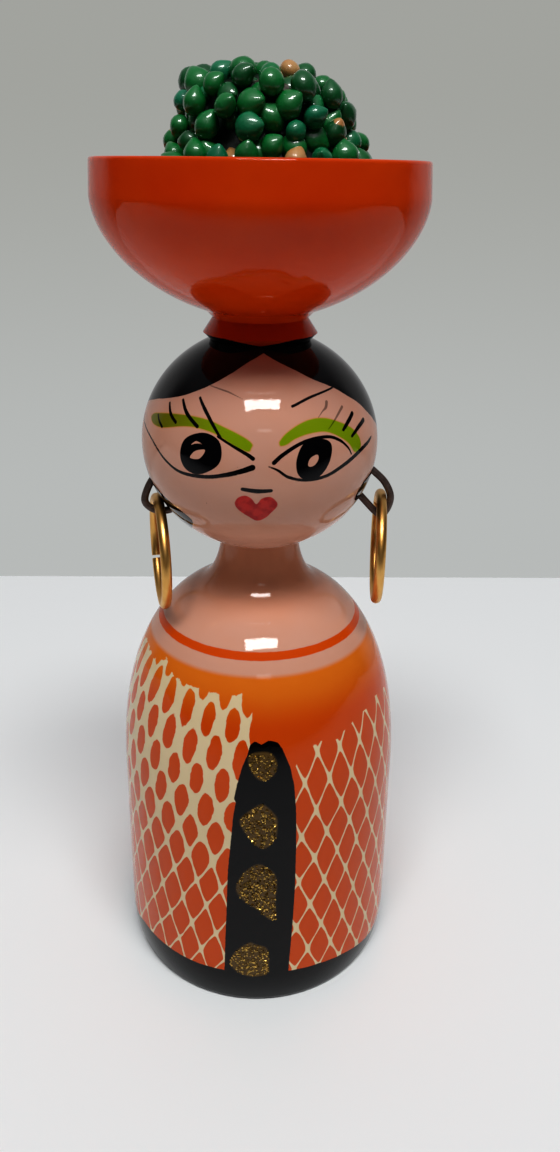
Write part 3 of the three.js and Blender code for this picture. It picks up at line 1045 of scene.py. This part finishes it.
def make_glue():
    """The glue that the seeds are set in, from the bowl's wall to the top of the heap. Its dark green is
    painted shade, for the shaded seeds deep in the gaps; its brown patches are glue.
    """
    outline = [(0.6, 150), (20, 152), (25.4, 156.5)]
    outline += [(max(radius - CORE_DEPTH, 0.6), RIM_Z + rise - 0.4) for radius, rise in SEED_RINGS]
    skin = Turned(resampled(outline, 1.2), np.arange(-180, 180, 4))
    points = np.array([leaned(point) for point in skin.points])
    make_piece("glue", points, skin.faces(), glue_and_shade_material())


def glue_and_shade_material():
    shader = new_shader("glue with painted shade between the seeds")
    # Painted shade in dark green, with patches of brown glue at random
    colour = shader.mix(shader.span(shader.noise(4, 3), 0.5, 0.7), GAP_SHADE_DARK, GLUE_BROWN)
    normal = shader.bump(shader.noise(1.5, 2), 0.15)
    return shader.finish(colour, normal, roughness=0.6, coat_weight=0.5, coat_roughness=0.25)


# Ears
def ear_direction(ear):
    turn = math.radians(ear["forward"])
    return np.array([ear["side"] * math.cos(turn), -math.sin(turn), 0])


def tube(line, radius, sides, closed_ends=True):
    """Points and faces of a round wire along a line of points."""
    line = np.array(line, float)
    ahead = np.gradient(line, axis=0)
    ahead /= np.linalg.norm(ahead, axis=1)[:, None]
    flat = np.cross(line[-1] - line[0], line[len(line) // 2] - line[0])
    flat /= np.linalg.norm(flat)
    across = np.cross(ahead, flat)
    turns = np.radians(np.arange(sides) * 360 / sides)[None, :, None]
    rings = line[:, None] + radius * (np.cos(turns) * flat + np.sin(turns) * across[:, None])
    row = np.arange(len(line) - 1)[:, None] * sides
    here = np.arange(sides)[None, :]
    after = (here + 1) % sides
    quads = np.stack([row + here, row + sides + here, row + sides + after, row + after], axis=-1)
    first = list(range(sides))
    last = [(len(line) - 1) * sides + index for index in first]
    return rings.reshape(-1, 3), [*quads.reshape(-1, 4).tolist(), first, last[::-1]]


def ear_wire_line(ear):
    out = ear_direction(ear)
    marks = [out * reach + (0, 0, height) for reach, height in ear["wire"]]
    return smooth_line(marks, steps=10)


def hoop_line(name, ear, steps=140):
    """The ring from one side of its split to the other, hung where the frame has it."""
    out = ear_direction(ear)
    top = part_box(f"hoop_earring_{name}")[1].z / MM - HOOP_WIRE_RADIUS
    centre = out * ear["hoop_reach"] + (0, 0, top - HOOP_RADIUS)
    front = np.cross((0, 0, 1), out) * -ear["side"]
    open_turn = HOOP_SPLIT / HOOP_RADIUS
    start = math.radians(ear["split_turn"]) + open_turn / 2
    turns = np.linspace(start, start + 2 * math.pi - open_turn, steps)[:, None]
    return centre + HOOP_RADIUS * (np.sin(turns) * front + np.cos(turns) * np.array([0, 0, 1]))


def wire_material():
    shader = new_shader("dark ear wire")
    colour = shader.mix(shader.noise(1.2, 3), WIRE_DARK, srgb(66, 54, 50))
    normal = shader.bump(shader.noise(0.5, 2), 0.03)
    return shader.finish(colour, normal, metallic=0.4, roughness=0.45)


def brass_material():
    shader = new_shader("satin brass")
    colour = shader.mix(shader.noise(3, 3), BRASS, srgb(206, 150, 78))
    normal = shader.bump(shader.noise(0.4, 2), 0.006)
    return shader.finish(colour, normal, metallic=1.0, roughness=0.38)


def make_ears():
    dark, brass = wire_material(), brass_material()
    for name, ear in EARS.items():
        points, faces = tube(ear_wire_line(ear), WIRE_RADIUS, 16)
        make_piece(f"bent_wire_{name}", points, faces, dark, [f"ear_wire_{name}"])
        points, faces = tube(hoop_line(name, ear), HOOP_WIRE_RADIUS, 24)
        make_piece(f"brass_hoop_{name}", points, faces, brass, [f"hoop_earring_{name}"])


# Stage: a pale floor in a pale room, a soft lamp for the light and two for the highlights. The
# floor has painted shade well in front of the doll, where only its reflections see it.
FLOOR_FRONT = -420
# Where the painted shade on the floor starts
FLOOR_SHADE_START = -130
FLOOR_BACK = 187
FLOOR_HALF_WIDTH = 1200
LAMPS = [
    {
        "name": "soft light", "azimuth": 5, "elevation": 67, "size": (1550, 560),
        "watts": 30, "gloss": False,
    },
    {
        "name": "highlight", "azimuth": 3, "elevation": 56.5, "size": (1150, 400),
        "watts": 29, "gloss": True,
    },
    {
        "name": "faint highlight", "azimuth": 5, "elevation": 30, "size": (480, 130),
        "watts": 0.4, "gloss": True,
    },
]
LAMP_DISTANCE = 2200
LAMP_AIM = (0, 0, 100)


def make_camera():
    pitch, yaw, roll = (math.radians(t) for t in (CAMERA_PITCH, CAMERA_YAW, CAMERA_ROLL))
    ahead = Vector((math.sin(yaw) * math.cos(pitch), math.cos(yaw) * math.cos(pitch), -math.sin(pitch)))
    right = Vector((math.cos(yaw), -math.sin(yaw), 0))
    up = right.cross(ahead)
    turned_right = math.cos(roll) * right + math.sin(roll) * up
    turned_up = math.cos(roll) * up - math.sin(roll) * right
    data = bpy.data.cameras.new("camera")
    data.lens = CAMERA_LENS
    data.sensor_width = SENSOR_WIDTH
    data.clip_start = 0.01
    camera = bpy.data.objects.new("camera", data)
    bpy.context.scene.collection.objects.link(camera)
    turn = Matrix([turned_right, turned_up, -ahead]).transposed()
    camera.matrix_world = Matrix.Translation(Vector(CAMERA_PLACE) * MM) @ turn.to_4x4()
    bpy.context.scene.camera = camera


def make_floor():
    corners = [
        (-FLOOR_HALF_WIDTH, FLOOR_FRONT, 0), (FLOOR_HALF_WIDTH, FLOOR_FRONT, 0),
        (FLOOR_HALF_WIDTH, FLOOR_BACK, 0), (-FLOOR_HALF_WIDTH, FLOOR_BACK, 0),
    ]
    mesh = bpy.data.meshes.new("floor")
    mesh.from_pydata((np.array(corners) * MM).tolist(), [], [(0, 1, 2, 3)])
    shader = new_shader("pale floor")
    parts = shader.node("ShaderNodeSeparateXYZ", {"Vector": shader.place()})
    # Painted shade: the floor's colour darkens from where its shade starts to its front edge
    near = shader.span(parts.outputs["Y"], FLOOR_SHADE_START * MM, FLOOR_FRONT * MM)
    colour = shader.mix(near, FLOOR_PALE, FLOOR_PAINTED_SHADE)
    mesh.materials.append(shader.finish(colour, roughness=0.45, specular_ior_level=0.3))
    floor = bpy.data.objects.new("floor", mesh)
    bpy.context.scene.collection.objects.link(floor)


def make_lamps():
    aim = Vector(LAMP_AIM) * MM
    for lamp in LAMPS:
        azimuth, elevation = math.radians(lamp["azimuth"]), math.radians(lamp["elevation"])
        away = Vector((
            math.sin(azimuth) * math.cos(elevation),
            -math.cos(azimuth) * math.cos(elevation),
            math.sin(elevation),
        ))
        data = bpy.data.lights.new(lamp["name"], "AREA")
        data.shape = "RECTANGLE"
        data.size, data.size_y = (side * MM for side in lamp["size"])
        data.energy = lamp["watts"]
        light = bpy.data.objects.new(lamp["name"], data)
        light.location = aim + away * LAMP_DISTANCE * MM
        light.rotation_euler = away.to_track_quat("Z", "Y").to_euler()
        light.visible_glossy = lamp["gloss"]
        light.visible_diffuse = not lamp["gloss"]
        bpy.context.scene.collection.objects.link(light)


def make_world():
    """Soft room light: a bright ceiling, a bright wall behind, and a dark room in front."""
    world = bpy.data.worlds.new("room")
    bpy.context.scene.world = world
    shader = Shader(world)
    direction = shader.node("ShaderNodeTexCoord").outputs["Generated"]
    parts = shader.node("ShaderNodeSeparateXYZ", {"Vector": direction})
    ceiling = shader.span(parts.outputs["Z"], 0.3, 0.75)
    wall = shader.span(parts.outputs["Y"], 0.3, 0.6)
    low = shader.mix(wall, (0.03, 0.03, 0.03, 1), (0.34, 0.34, 0.34, 1))
    light = shader.mix(ceiling, low, (0.2, 0.2, 0.21, 1))
    height = shader.span(parts.outputs["Z"], -0.35, 0.1)
    seen = shader.mix(height, (0.38, 0.39, 0.385, 1), (0.306, 0.31, 0.294, 1))
    camera_ray = shader.node("ShaderNodeLightPath").outputs["Is Camera Ray"]
    colour = shader.mix(camera_ray, light, seen)
    background = shader.node("ShaderNodeBackground", {"Color": colour, "Strength": 1.0})
    output = shader.node("ShaderNodeOutputWorld")
    shader.tree.links.new(background.outputs["Background"], output.inputs["Surface"])


bpy.context.scene.view_settings.view_transform = "Standard"
bpy.context.scene.view_settings.look = "High Contrast"
make_camera()
make_floor()
make_lamps()
make_world()
make_body()
make_head()
make_bowl()
make_seeds()
make_glue()
make_ears()
